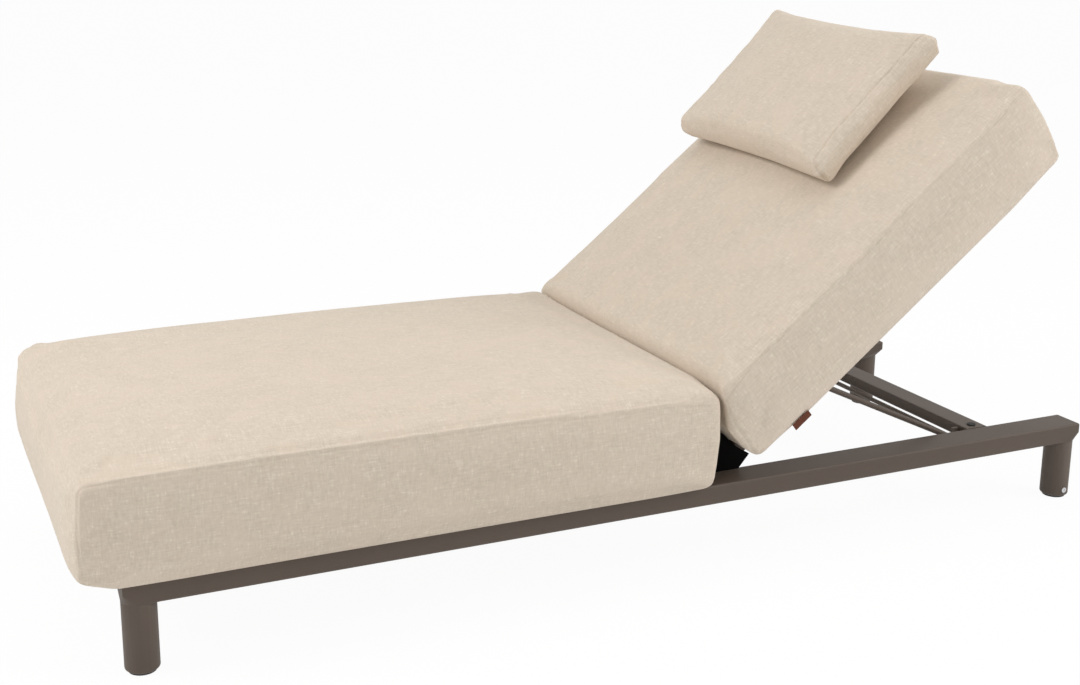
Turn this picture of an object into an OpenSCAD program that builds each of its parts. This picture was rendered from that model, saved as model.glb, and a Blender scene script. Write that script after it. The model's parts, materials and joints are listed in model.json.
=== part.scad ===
// Relaxation lounger. A welded tube frame on four round legs carries a slatted
// seat and a reclining slatted back, which a hinged prop holds in a toothed rack.
// Two thick box cushions and a loose head pillow lie on it.
// +X runs towards the head, -Y is the left side and the floor is z = 0.
// Lengths are in millimetres. The back is drawn raised, in its highest notch.

/* [Frame] */
// Length of the side rails
frame_l = 2060; // [1960:5:2160]
// Width over the side rails
frame_w = 772; // [700:2:840]
// Width of a side rail
rail_w = 70; // [64:1:80]
// Height of a side rail
rail_h = 40; // [36:1:46]
// Radius on the long edges of the rails
rail_edge_r = 4; // [2:0.5:6]
// Diameter of a leg
leg_d = 60; // [50:1:60]
// Height of the rails' underside above the floor
leg_h = 130; // [100:1:170]
// Radius on the foot of a leg
leg_foot_r = 5; // [2:0.5:8]
// Thickness of the glide under a leg
glide_h = 4; // [2:0.5:6]
// Diameter of the glide under a leg
glide_d = 48; // [40:1:49]
// Height of a crossbar
bar_h = 25; // [20:1:30]
// Width of the head crossbar
head_bar_w = 56; // [40:1:70]
// Distance from the rails' head end to the head crossbar
head_bar_inset = 200; // [160:1:240]
// Width of the foot and middle crossbars
bar_w = 40; // [30:1:50]
// Distance from the rails' foot end to the foot crossbar
foot_bar_inset = 62; // [60:1:90]
// Diameter of the screw heads in the head legs
leg_screw_d = 12; // [8:0.5:16]
// Height of those screws above the floor
leg_screw_z = 19; // [14:0.5:40]

/* [Slats] */
// Width of a slat
slat_w = 60; // [40:1:70]
// Thickness of a slat
slat_h = 12; // [8:0.5:14]
// Radius on the edges of a slat
slat_edge_r = 3; // [1:0.5:4]

/* [Recline] */
// Angle of the raised back above level
rest_angle = 38; // [30:0.5:38]
// Distance from the back hinge to the rails' head end
hinge_to_head = 856; // [830:1:880]
// Width of a back side tube
member_w = 25; // [20:1:28]
// Depth of a back side tube
member_h = 30; // [26:1:34]
// Wall of a back side tube
member_wall = 2; // [1.5:0.5:3]
// Length of a back side tube beyond the hinge
member_l = 880; // [820:5:900]
// Radius on the edges of the back tubes
member_edge_r = 3; // [1:0.5:4]
// Diameter of a hinge pin
hinge_pin_d = 10; // [8:0.5:12]
// Thickness of a hinge bracket
bracket_t = 5; // [3:0.5:6]
// Height of the rubber buffers on the head crossbar
buffer_h = 2.7; // [1.5:0.1:4]
// Diameter of those buffers
buffer_d = 18; // [12:1:24]

/* [Prop] */
// Angle of the prop above level while the back is raised
prop_angle = 25; // [23:0.5:26]
// Distance of the prop's top rod below the middle of the back, raised or flat
rod_drop = 50; // [46:1:54]
// Diameter of the prop's arms
arm_d = 12; // [10:0.5:14]
// Diameter of the prop's two rods
rod_d = 10; // [8:0.5:10]
// Distance from the head crossbar to the pivot rod
pivot_reach = 17; // [12:0.5:24]
// Thickness of a rack plate
rack_t = 6; // [4:0.5:8]
// Depth of a rack notch
notch_depth = 5; // [3:0.5:6]

/* [Cushions] */
// Width of the seat and back cushions
cushion_w = 842; // [780:2:900]
// Overhang of the seat cushion beyond the rails' foot end
cushion_overhang = 74; // [30:1:90]
// Distance from the back hinge to the seat cushion's head end
seat_gap = 76; // [70:1:110]
// Thickness of the seat cushion at its edges
seat_t = 206; // [150:1:220]
// Length of the back cushion
back_l = 914; // [860:1:960]
// Thickness of the back cushion at its edges
back_t = 195; // [140:1:205]
// Distance from the hinge to the back cushion's lower end, along the back
back_start = 17; // [17:0.5:40]
// Rise of the seat cushion's crown above its edges
seat_crown = 7; // [2:0.5:20]
// Upward bow of the seat cushion's long edges
seat_bow = 10; // [0:0.5:16]
// Rise of the back cushion's crown above its edges
back_crown = 12; // [6:0.5:30]
// Extra thickness of the back cushion at its head end
back_swell = 18; // [0:1:30]
// Radius on a cushion's lower edges
low_r = 24; // [15:1:40]
// Radius on a cushion's upper edges
top_r = 30; // [20:1:40]
// Radius of a cushion's corners in plan
corner_r = 26; // [15:1:60]
// Depth that a cushion's sides draw in between the corners
draw_in = 1; // [0:0.5:10]
// Depth of the sewn seam round a cushion
seam_depth = 2.5; // [0:0.5:4]

/* [Head pillow] */
// Width of the head pillow
pillow_w = 608; // [480:2:640]
// Length of the head pillow along the back
pillow_l = 378; // [300:2:420]
// Thickness of the head pillow at its edges
pillow_t = 60; // [50:1:80]
// Rise of the pillow's front crown
pillow_crown = 25; // [10:1:40]
// Bulge of the pillow's rear face before it rests on the back cushion
pillow_bulge = 62; // [40:1:70]
// Distance of the pillow's centre from the hinge, along the back
pillow_u = 734; // [600:1:760]
// Offset of the pillow towards the right side
pillow_y = 72; // [0:1:90]
// Tilt of the pillow's upper edge away from the back
pillow_tilt = 7.9; // [0:0.1:10]
// Turn of the pillow on the back
pillow_turn = 2.3; // [0:0.1:6]

/* [Hidden] */

// Finishes, as colours
COAT = "#5e5349";
STEEL = "#b9bcbf";
PLASTIC = "#2b2a28";
FABRIC = "#d6c8b2";
TAB = "#8a4a33";

// Smoothness of bores, pins and legs
ROUND = 64;
// Smoothness of the children of a hull
HULL_ROUND = 32;
// Overrun of a cut past a face
over = 1;
// Thickness of the slabs that a hull spans
skin = 0.1;
// Gap between soft parts and what carries them
soft_gap = 0.3;
// Gap between a moving part and its stop
stop_gap = 0.3;
// Radial clearance of a running fit
run_fit = 0.05;
// Radial clearance of a fixed fit
close_fit = 0.02;

// Frame stations
total_l = frame_l + cushion_overhang;
head_x = total_l / 2;
foot_x = head_x - frame_l;
rail_y = (frame_w - rail_w) / 2;
rail_in = frame_w / 2 - rail_w;
rail_top = leg_h + rail_h;
leg_x_foot = foot_x + leg_d / 2;
leg_x_head = head_x - leg_d / 2;
leg_y = (frame_w - leg_d) / 2;
head_bar_x = head_x - head_bar_inset - head_bar_w;
foot_bar_x = foot_x + foot_bar_inset;

// Leg screws: thickness of the head and size of its socket
leg_screw_h = 3;
leg_screw_socket_share = 0.45;

// Back hinge, in the frame's own X and Z
hinge_x = head_x - hinge_to_head;
hinge_z = rail_top + buffer_h + stop_gap + member_h / 2;
// Gap between a hinge bracket and the bush flange beside it
bracket_gap = 0.2;
flange_t = 0.8;
bush_t = 2;
bush_r = hinge_pin_d / 2 + bush_t;
member_out = rail_in - bracket_t - bracket_gap - flange_t;
member_in = member_out - member_w;
member_y = member_out - member_w / 2;
bracket_r = 14;
bracket_base_l = 46;
bracket_base_h = 28;
bracket_foot_gap = 4;
bracket_screw_d = 6;
bracket_screw_head_d = 11;
bracket_screw_head_h = 3.5;
bracket_screw_pitch_share = 0.55;
pin_head_h = 4;
pin_head_d = 18;
clip_t = 2;

// Middle crossbar, clear of the back tubes' round ends
mid_bar_gap = 9;
mid_bar_x = hinge_x - member_h / 2 - mid_bar_gap - bar_w;

// Seat slats, spread evenly between the foot and middle crossbars
seat_slats = 8;
seat_run = mid_bar_x - foot_bar_x - bar_w;
seat_slat_gap = (seat_run - seat_slats * slat_w) / (seat_slats + 1);
function seat_slat_x(i) = foot_bar_x + bar_w + seat_slat_gap * i + slat_w * (i - 1);

// Back bars and slats, along the back from the hinge
back_bar_w = 25;
back_low_u = 40;
back_top_u = member_l - back_bar_w;
back_slats = 7;
back_run = back_top_u - back_low_u - back_bar_w;
back_slat_gap = (back_run - back_slats * slat_w) / (back_slats + 1);
function back_slat_u(i) = back_low_u + back_bar_w + back_slat_gap * i + slat_w * (i - 1);
cap_t = 3;
cap_plug = 20;
cap_fit = 0.2;
member_solid = 25;

// Prop: the pivot lies level with the head crossbar's underside
pivot_x = head_bar_x - pivot_reach;
pivot_z = rail_top - bar_h;
arm_gap = 9;
arm_y = rail_in - arm_gap - arm_d / 2;
rod_y_end = arm_y + arm_d / 2;
eye_r = 8;
rack_gap = 3;
rack_y = arm_y - arm_d / 2 - rack_gap - rack_t / 2;
lug_gap = 4;
lug_t = 6;
lug_y = arm_y - arm_d / 2 - lug_gap - lug_t / 2;
lug_r = 10;

// The top rod lies rod_drop below the middle of the back, both raised and flat,
// which sets the prop's length and its turn for each degree of recline
prop_l = ((pivot_x - hinge_x) * sin(rest_angle) - (pivot_z - hinge_z) * cos(rest_angle)
    - rod_drop) / sin(rest_angle + prop_angle);
flat_angle = asin((hinge_z - rod_drop - pivot_z) / prop_l);
prop_ratio = (prop_angle - flat_angle) / rest_angle;

// Place of the prop's top rod, seen from the back while it lies at angle a
function prop_at(a) = prop_angle - (rest_angle - a) * prop_ratio;
function rod_at(a) = [pivot_x - hinge_x - prop_l * cos(prop_at(a)),
    pivot_z - hinge_z + prop_l * sin(prop_at(a))];
function turned(p, a) = [p[0] * cos(a) + p[1] * sin(a), p[1] * cos(a) - p[0] * sin(a)];
function rod_path(a) = turned(rod_at(a), a);
half_degree = 0.5;
function path_way(a) = rod_path(a - half_degree) - rod_path(a + half_degree);
function path_normal(a) = let (d = path_way(a)) [d[1], -d[0]] / norm(d);

// Rack: teeth just clear of the rod's path, with notches square to it
rack_clear = 0.5;
notch_fit = 0.3;
notch_angle_share = [1, 0.87, 0.725, 0.53];
rack_low_angle = 9;
rack_point_step = 1.45;
hook_w = 9;
hook_drop = 8;

// Cushion mesh: points on a side and in a corner, and rings on each stretch
side_pts = 6;
corner_pts = 6;
arc_rings = 4;
crown_rings = 4;
// Height of the seam below a cushion's upper edge
seam_below = 20;
// Half height of the seam's groove
seam_half = 4;
// Outward belly of a cushion's sides
belly = 7;
// Exponents of the crown's fall towards the ends and the sides
crown_end_power = 6;
crown_side_power = 2.5;
// Seat cushion's upright head end, which presses in the back cushion's lower end
seat_x = hinge_x - seat_gap;
seat_l = seat_x - foot_x + cushion_overhang;
press_clear = 0.6;
press_power = 6;
press_low = (seat_x + press_clear - hinge_x) / cos(rest_angle) - back_start;
swell_power = 1.5;
bow_power = 2.5;
// Highest line of the back cushion's face above the middle of the side tubes
face_w = member_h / 2 + soft_gap;
face_top = face_w + max([for (k = [0 : 40])
    let (x = back_l * (k / 40 - 0.5))
    (back_t + back_crown * fall(x, 0, back_l / 2 - top_r, 1))
        * (1 + rise(x, back_l, back_swell, 0) / back_t)]);

// Pillow: radius on its edges, fall of its rear bulge, depth that its sides draw
// in, and the height of its rear edges above the back cushion's highest line, which
// flattens the bulge
pillow_round = 20;
pillow_power = 3;
pillow_draw = 9;
pillow_corner = 14;
pillow_stand = 34;

// Folded tab sewn in the seam at the back cushion's left rear edge
tab_l = 44;
tab_w = 21;
tab_t = 1.5;
tab_u = 122;
tab_y = cushion_w / 2 - 12.5;
tab_top = 20.2;

// Flat shapes

module rounded_rect(w, h, r) {
    square([w - 2 * r, h], center = true);
    square([w, h - 2 * r], center = true);
    for (x = [-1, 1], y = [-1, 1])
        translate([x * (w / 2 - r), y * (h / 2 - r)]) circle(r = r, $fn = HULL_ROUND);
}

// Bars: along X from x = 0, and along Y centred on y = 0

module bar_x(l, w, h, r) {
    rotate([90, 0, 90]) linear_extrude(l) rounded_rect(w, h, r);
}

module bar_y(l, w, h, r) {
    translate([0, l / 2, 0]) rotate([90, 0, 0]) linear_extrude(l) rounded_rect(w, h, r);
}

// A round bar along Y from y0 to y1
module rod_y(y0, y1, r) {
    translate([0, y0, 0]) rotate([-90, 0, 0]) cylinder(h = y1 - y0, r = r, $fn = ROUND);
}

// Frame

// Corner of a rail at its leg: square above, drawn in to the round leg below
module rail_corner() {
    r = rail_edge_r;
    hull() {
        translate([leg_d - skin, rail_w / 2, rail_h / 2])
            bar_x(skin, rail_w, rail_h, r);
        for (y = [r, rail_w - r]) {
            translate([r, y, rail_h / 2])
                cylinder(h = rail_h / 2 - r, r = r, $fn = HULL_ROUND);
            translate([r, y, rail_h - r]) sphere(r = r, $fn = HULL_ROUND);
        }
        translate([leg_d / 2, leg_d / 2, 0])
            cylinder(h = skin, d = leg_d, $fn = ROUND);
    }
}

module left_rail() {
    translate([foot_x, -frame_w / 2, leg_h]) {
        translate([leg_d, rail_w / 2, rail_h / 2])
            bar_x(frame_l - 2 * leg_d, rail_w, rail_h, rail_edge_r);
        rail_corner();
        translate([frame_l, 0, 0]) mirror([1, 0, 0]) rail_corner();
    }
}

module rail_left() { color(COAT) left_rail(); }
module rail_right() { color(COAT) mirror([0, 1, 0]) left_rail(); }

module leg_shape() {
    r = leg_foot_r;
    rotate_extrude($fn = ROUND) {
        square([leg_d / 2 - r, leg_h - glide_h]);
        translate([0, r]) square([leg_d / 2, leg_h - glide_h - r]);
        translate([leg_d / 2 - r, r]) intersection() {
            circle(r = r, $fn = ROUND);
            translate([0, -r]) square([r, r]);
        }
    }
}

module leg(x, y) {
    color(COAT) translate([x, y, glide_h]) leg_shape();
}

module head_leg(side) {
    color(COAT) difference() {
        translate([leg_x_head, side * leg_y, glide_h]) leg_shape();
        at_leg_screw(side)
            rod_y(-leg_screw_h - close_fit, over, leg_screw_d / 2 + close_fit);
    }
}

// Place of a screw on the outer face of a head leg, with +Y outwards
module at_leg_screw(side) {
    mirror([0, side < 0 ? 1 : 0, 0])
        translate([leg_x_head, frame_w / 2, leg_screw_z]) children();
}

module leg_screws() {
    color(STEEL) for (side = [-1, 1]) at_leg_screw(side) difference() {
        rod_y(-leg_screw_h, leg_screw_h / 2, leg_screw_d / 2);
        rod_y(0, leg_screw_h, leg_screw_d / 2 * leg_screw_socket_share);
    }
}

module leg_glides() {
    color(PLASTIC) for (x = [leg_x_foot, leg_x_head], y = [-leg_y, leg_y])
        translate([x, y, 0]) cylinder(h = glide_h, d = glide_d, $fn = ROUND);
}

module crossbar(x, w) {
    color(COAT) translate([x + w / 2, 0, rail_top - bar_h / 2])
        bar_y(2 * rail_in, w, bar_h, rail_edge_r);
}

module seat_slat(i) {
    color(COAT) translate([seat_slat_x(i) + slat_w / 2, 0, rail_top - slat_h / 2])
        bar_y(2 * rail_in, slat_w, slat_h, slat_edge_r);
}

// Back hinge

module bracket_outline() {
    circle(r = bracket_r, $fn = ROUND);
    base_top = rail_top - bracket_foot_gap - hinge_z;
    translate([-bracket_r, base_top - bracket_base_h])
        square([2 * bracket_r, bracket_base_h - base_top]);
    translate([-bracket_base_l / 2, base_top - bracket_base_h])
        square([bracket_base_l, bracket_base_h]);
}

module bracket_screw_places() {
    for (s = [-1, 1])
        translate([s * bracket_base_l / 2 * bracket_screw_pitch_share, 0,
            rail_top - bracket_foot_gap - bracket_base_h / 2 - hinge_z]) children();
}

module left_bracket() {
    translate([hinge_x, 0, hinge_z]) difference() {
        translate([0, -rail_in + bracket_t, 0]) rotate([90, 0, 0])
            linear_extrude(bracket_t) bracket_outline();
        rod_y(-rail_in - over, -rail_in + bracket_t + over, hinge_pin_d / 2 + close_fit);
        bracket_screw_places()
            rod_y(-rail_in - over, -rail_in + bracket_t + over,
                bracket_screw_d / 2 + close_fit);
    }
}

module hinge_bracket_left() { color(COAT) left_bracket(); }
module hinge_bracket_right() { color(COAT) mirror([0, 1, 0]) left_bracket(); }

module left_bracket_screws() {
    translate([hinge_x, -rail_in, hinge_z]) bracket_screw_places() {
        rod_y(0, bracket_t, bracket_screw_d / 2);
        rod_y(bracket_t, bracket_t + bracket_screw_head_h, bracket_screw_head_d / 2);
    }
}

module bracket_screws() {
    color(STEEL) {
        left_bracket_screws();
        mirror([0, 1, 0]) left_bracket_screws();
    }
}

module left_pin() {
    translate([hinge_x, 0, hinge_z]) {
        rod_y(-rail_in, -member_in + stop_gap, hinge_pin_d / 2);
        rod_y(-rail_in - pin_head_h, -rail_in, pin_head_d / 2);
        rod_y(-member_in + stop_gap, -member_in + stop_gap + clip_t,
            hinge_pin_d / 2 + clip_t);
    }
}

module hinge_pins() {
    color(STEEL) {
        left_pin();
        mirror([0, 1, 0]) left_pin();
    }
}

// Lugs on the head crossbar that carry the prop's pivot rod
module left_lug() {
    translate([pivot_x, -lug_y + lug_t / 2, pivot_z]) rotate([90, 0, 0])
        linear_extrude(lug_t) difference() {
            union() {
                circle(r = lug_r, $fn = ROUND);
                translate([0, -lug_r]) square([pivot_reach, lug_r + bar_h - rail_edge_r]);
            }
            circle(r = rod_d / 2 + run_fit, $fn = ROUND);
        }
}

module prop_lugs() {
    color(COAT) {
        left_lug();
        mirror([0, 1, 0]) left_lug();
    }
}

module rest_buffers() {
    color(PLASTIC) for (y = [-member_y, member_y])
        translate([head_bar_x + head_bar_w / 2, y, rail_top])
            cylinder(h = buffer_h, d = buffer_d, $fn = ROUND);
}

// Back: local X runs along the back from the hinge, local Z square to it

module on_back() {
    translate([hinge_x, 0, hinge_z]) rotate([0, -rest_angle, 0]) children();
}

module left_member() {
    on_back() difference() {
        union() {
            translate([0, -member_y, 0]) bar_x(member_l, member_w, member_h, member_edge_r);
            rod_y(-member_out, -member_in, member_h / 2);
        }
        translate([member_solid, -member_y, 0])
            bar_x(member_l, member_w - 2 * member_wall, member_h - 2 * member_wall,
                member_edge_r / 2);
        rod_y(-member_out - over, -member_in + over, bush_r + close_fit);
    }
}

module back_member_left() { color(COAT) left_member(); }
module back_member_right() { color(COAT) mirror([0, 1, 0]) left_member(); }

module left_bush() {
    on_back() difference() {
        union() {
            rod_y(-member_out, -member_in, bush_r);
            rod_y(-member_out - flange_t, -member_out, bush_r + bush_t);
        }
        rod_y(-rail_in, -member_in + over, hinge_pin_d / 2 + run_fit);
    }
}

module hinge_bushes() {
    color(PLASTIC) {
        left_bush();
        mirror([0, 1, 0]) left_bush();
    }
}

module back_bar(u) {
    color(COAT) on_back() translate([u + back_bar_w / 2, 0, 0])
        bar_y(2 * member_in, back_bar_w, member_h, member_edge_r);
}

module back_slat(i) {
    color(COAT) on_back()
        translate([back_slat_u(i) + slat_w / 2, 0, (member_h - slat_h) / 2])
            bar_y(2 * member_in, slat_w, slat_h, slat_edge_r);
}

module left_cap() {
    on_back() translate([member_l, -member_y, 0]) {
        bar_x(cap_t, member_w, member_h, member_edge_r);
        translate([-cap_plug, 0, 0])
            bar_x(cap_plug, member_w - 2 * (member_wall + cap_fit),
                member_h - 2 * (member_wall + cap_fit), member_edge_r / 2);
    }
}

module back_end_caps() {
    color(PLASTIC) {
        left_cap();
        mirror([0, 1, 0]) left_cap();
    }
}

// Rack plate: its lower edge follows the path of the prop's top rod
module rack_outline() {
    off = rod_d / 2 + rack_clear;
    top = -member_h / 2;
    end = rod_path(rest_angle);
    low = [for (k = [0 : (rest_angle - rack_low_angle) / rack_point_step])
        let (a = rest_angle - k * rack_point_step)
        rod_path(a) + off * path_normal(a)];
    last = low[len(low) - 1];
    difference() {
        polygon(concat(
            [[end[0] + off + hook_w, top],
             [end[0] + off + hook_w, end[1] - hook_drop],
             [end[0] + off, end[1] - hook_drop],
             [end[0] + off, low[0][1]]],
            low,
            [[last[0] - hook_w, last[1]], [last[0] - hook_w - off, top]]));
        for (share = notch_angle_share) {
            a = rest_angle * share;
            seat = rod_path(a) + notch_depth * path_normal(a);
            translate(seat) circle(r = rod_d / 2 + notch_fit, $fn = ROUND);
        }
    }
}

module left_rack() {
    on_back() translate([0, -rack_y + rack_t / 2, 0]) rotate([90, 0, 0])
        linear_extrude(rack_t) rack_outline();
}

module rack_left() { color(COAT) left_rack(); }
module rack_right() { color(COAT) mirror([0, 1, 0]) left_rack(); }

// Prop

module at_top_rod() {
    p = rod_at(rest_angle);
    translate([hinge_x + p[0], 0, hinge_z + p[1]]) children();
}

module prop_rod_low() {
    color(STEEL) translate([pivot_x, 0, pivot_z]) rod_y(-rod_y_end, rod_y_end, rod_d / 2);
}

module prop_rod_top() {
    color(STEEL) at_top_rod() rod_y(-rod_y_end, rod_y_end, rod_d / 2);
}

module prop_arm(side) {
    y0 = side * arm_y - arm_d / 2;
    y1 = side * arm_y + arm_d / 2;
    color(STEEL) difference() {
        union() {
            translate([pivot_x, side * arm_y, pivot_z]) rotate([0, prop_angle - 90, 0])
                cylinder(h = prop_l, r = arm_d / 2, $fn = ROUND);
            translate([pivot_x, 0, pivot_z]) rod_y(y0, y1, eye_r);
            at_top_rod() rod_y(y0, y1, eye_r);
        }
        translate([pivot_x, 0, pivot_z]) rod_y(-rail_in, rail_in, rod_d / 2 + close_fit);
        at_top_rod() rod_y(-rail_in, rail_in, rod_d / 2 + close_fit);
    }
}

// Cushions

// Outline of a cushion in plan: half sizes a and b, corner radius r, its sides
// drawn in by d between the corners
function side_in(s, d) = d * (1 - pow(abs(2 * s - 1), 2));
function outline(a, b, r, d) = [
    for (k = [0 : 3])
        let (ca = k == 0 || k == 3 ? a - r : r - a, cb = k < 2 ? b - r : r - b,
            na = k == 0 || k == 1 ? -1 : 1, nb = k == 1 || k == 2 ? -1 : 1)
        each concat(
            [for (j = [0 : corner_pts - 1])
                let (t = 90 * k + 90 * j / (corner_pts - 1))
                [ca + r * cos(t), cb + r * sin(t)]],
            [for (j = [1 : side_pts])
                let (s = j / (side_pts + 1), e = side_in(s, d))
                k == 0 ? [(a - r) * (1 - 2 * s), b - e] :
                k == 1 ? [e - a, (b - r) * (1 - 2 * s)] :
                k == 2 ? [(r - a) * (1 - 2 * s), e - b] :
                [a - e, (r - b) * (1 - 2 * s)]])];

// One ring of the mesh: the outline moved in by i, shrunk by f, at height z
function ring(l, w, r, d, i, f, z) = [
    for (p = outline(l / 2 - i, w / 2 - i, max(r - i, skin), d)) [p[0] * f, p[1] * f, z]];

// Share of the crown's height at a point of the upper or lower face
function fall(x, y, a, b) = (1 - pow(min(abs(x) / a, 1), crown_end_power))
    * (1 - pow(min(abs(y) / b, 1), crown_side_power));

// Extra thickness at a place along a cushion that swells towards its head end, and
// whose long edges bow up
function rise(x, l, swell, bow) = swell * pow(max(0, x / l + 0.5), swell_power)
    + bow * (1 - pow(min(abs(x) / l * 2, 1), bow_power));

// How far the back cushion's lower end is pressed in at a height above its rear face
function press_at(z) = max(0, press_low + (z + face_w) * tan(rest_angle));

// A stuffed box: lower face bulged by low_c, upper face crowned by top_c, made
// thicker by swell and bow, its lower end pressed in by a share of press_at, and
// its lower face flattened on a plane tilted by lie, at depth rest
module stuffed(l, w, h, rl, rt, rc, d, low_c, top_c, seam, swell, bow, press, rest, lie) {
    n = 4 * (side_pts + corner_pts);
    seam_z = h - seam_below;
    a = l / 2 - rt;
    b = w / 2 - rt;
    rings = concat(
        [for (k = [1 : crown_rings])
            let (f = k / (crown_rings + 1))
            ring(l, w, rc, d, rl, f, -low_c * (1 - pow(f, pillow_power)))],
        [for (k = [0 : arc_rings])
            let (t = 90 * k / arc_rings)
            ring(l, w, rc, d, belly + (rl - belly) * (1 - sin(t)), 1, rl * (1 - cos(t)))],
        seam > 0 ? [
            ring(l, w, rc, d, 0, 1, (rl + seam_z) / 2),
            ring(l, w, rc, d, belly / 2, 1, seam_z - seam_half),
            ring(l, w, rc, d, belly / 2 + seam, 1, seam_z),
            ring(l, w, rc, d, belly / 2, 1, seam_z + seam_half)] :
            [ring(l, w, rc, d, 0, 1, h / 2)],
        [for (k = [1 : arc_rings])
            let (t = 90 * k / arc_rings)
            ring(l, w, rc, d, belly + (rt - belly) * (1 - cos(t)), 1,
                h - rt + rt * sin(t) + (seam > 0 ? (rt - seam_below + seam_half) * (1 - sin(t)) : 0))],
        [for (k = [1 : crown_rings])
            let (f = 1 - k / (crown_rings + 1))
            ring(l, w, rc, d, rt, f, h + top_c)]);
    m = len(rings);
    crowned = [for (q = rings, p = q)
        p[2] > h ? [p[0], p[1], h + top_c * fall(p[0], p[1], a, b)] : p];
    swollen = [for (p = crowned) [p[0], p[1], p[2] * (1 + rise(p[0], l, swell, bow) / h)]];
    pressed = [for (p = swollen)
        [p[0] + press * press_at(p[2]) * pow(max(0, -p[0]) / (l / 2), press_power),
            p[1], max(p[2], -rest - p[0] * tan(lie))]];
    points = concat([[0, 0, -min(low_c, rest)]], pressed,
        [[0, 0, (h + top_c) * (1 + rise(0, l, swell, bow) / h)]]);
    faces = concat(
        [for (j = [0 : n - 1]) [0, 1 + j, 1 + (j + 1) % n]],
        [for (k = [0 : m - 2], j = [0 : n - 1])
            let (a = 1 + k * n + j, b = 1 + k * n + (j + 1) % n) each [[a, a + n, b], [b, a + n, b + n]]],
        [for (j = [0 : n - 1]) [m * n + 1, 1 + (m - 1) * n + (j + 1) % n, 1 + (m - 1) * n + j]]);
    polyhedron(points = points, faces = faces, convexity = 4);
}

module seat_cushion() {
    color(FABRIC) translate([-head_x + seat_l / 2, 0, rail_top + soft_gap])
        stuffed(seat_l, cushion_w, seat_t, low_r, top_r, corner_r, draw_in, 0, seat_crown,
            seam_depth, 0, seat_bow, 0, 0, 0);
}

module back_cushion() {
    color(FABRIC) on_back()
        translate([back_start + back_l / 2, 0, member_h / 2 + soft_gap])
            stuffed(back_l, cushion_w, back_t, low_r, top_r, corner_r, draw_in, 0,
                back_crown, seam_depth, back_swell, 0, 1, 0, 0);
}

module seam_tab() {
    color(TAB) on_back() translate([tab_u, -tab_y, tab_top - tab_w])
        cube([tab_l, tab_t, tab_w]);
}

module head_pillow() {
    color(FABRIC) on_back() translate([pillow_u, pillow_y, face_top + pillow_stand])
        rotate([0, -pillow_tilt, -pillow_turn])
            stuffed(pillow_l, pillow_w, pillow_t, pillow_round, pillow_round, pillow_corner,
                pillow_draw, pillow_bulge, pillow_crown, 0, 0, 0, 0,
                (pillow_stand - soft_gap) / cos(pillow_tilt), pillow_tilt);
}

rail_left();
rail_right();
leg(leg_x_foot, -leg_y);  // leg_foot_left
leg(leg_x_foot, leg_y);  // leg_foot_right
head_leg(-1);  // leg_head_left
head_leg(1);  // leg_head_right
leg_glides();
leg_screws();
crossbar(foot_bar_x, bar_w);  // crossbar_foot
crossbar(mid_bar_x, bar_w);  // crossbar_mid
crossbar(head_bar_x, head_bar_w);  // crossbar_head
seat_slat(1);  // seat_slat_1
seat_slat(2);  // seat_slat_2
seat_slat(3);  // seat_slat_3
seat_slat(4);  // seat_slat_4
seat_slat(5);  // seat_slat_5
seat_slat(6);  // seat_slat_6
seat_slat(7);  // seat_slat_7
seat_slat(8);  // seat_slat_8
hinge_bracket_left();
hinge_bracket_right();
bracket_screws();
hinge_pins();
prop_lugs();
rest_buffers();
seat_cushion();
back_member_left();
back_member_right();
hinge_bushes();
back_bar(back_low_u);  // back_bar_low
back_bar(back_top_u);  // back_bar_top
back_slat(1);  // back_slat_1
back_slat(2);  // back_slat_2
back_slat(3);  // back_slat_3
back_slat(4);  // back_slat_4
back_slat(5);  // back_slat_5
back_slat(6);  // back_slat_6
back_slat(7);  // back_slat_7
rack_left();
rack_right();
back_end_caps();
back_cushion();
seam_tab();
prop_arm(-1);  // prop_arm_left
prop_arm(1);  // prop_arm_right
prop_rod_low();
prop_rod_top();
head_pillow();
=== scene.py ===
"""Looks of a relaxation lounger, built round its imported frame.

The metal parts keep the frame's own shapes and get painted, brushed or moulded
finishes. The two box cushions and the head pillow start as the frame's own soft
solids, are blown up as cloth between their seams, and get sewn seams after it.
Lengths are in metres. +X runs towards the head, -Y is the left side, which is the
one nearer to the camera.
"""

import json
import math

import bmesh
import bpy
import numpy as np
from mathutils import Matrix, Vector, noise


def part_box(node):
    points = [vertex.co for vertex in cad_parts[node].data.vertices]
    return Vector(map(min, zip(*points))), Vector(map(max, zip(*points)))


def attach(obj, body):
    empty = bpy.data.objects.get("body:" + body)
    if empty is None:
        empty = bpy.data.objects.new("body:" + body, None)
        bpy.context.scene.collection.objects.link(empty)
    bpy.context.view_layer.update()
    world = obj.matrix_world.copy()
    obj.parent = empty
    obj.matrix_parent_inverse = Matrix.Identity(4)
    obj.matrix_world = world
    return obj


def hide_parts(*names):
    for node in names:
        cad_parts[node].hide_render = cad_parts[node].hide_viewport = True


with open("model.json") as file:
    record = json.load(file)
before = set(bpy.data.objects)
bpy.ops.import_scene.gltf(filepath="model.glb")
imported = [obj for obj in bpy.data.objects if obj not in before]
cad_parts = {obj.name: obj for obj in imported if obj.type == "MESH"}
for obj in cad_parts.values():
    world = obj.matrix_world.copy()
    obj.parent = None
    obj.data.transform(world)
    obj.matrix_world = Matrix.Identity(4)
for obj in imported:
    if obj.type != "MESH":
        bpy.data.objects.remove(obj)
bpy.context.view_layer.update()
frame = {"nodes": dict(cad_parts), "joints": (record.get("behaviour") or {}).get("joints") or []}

bl_info = {
    "name": "Relaxation Lounger Looks",
    "version": (1, 0, 0),
    "blender": (4, 5, 0),
    "location": "View3D > Sidebar > Lounger",
    "description": "Dresses a lounger's frame with cushions, a head pillow and finishes",
    "category": "Object",
}

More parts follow.
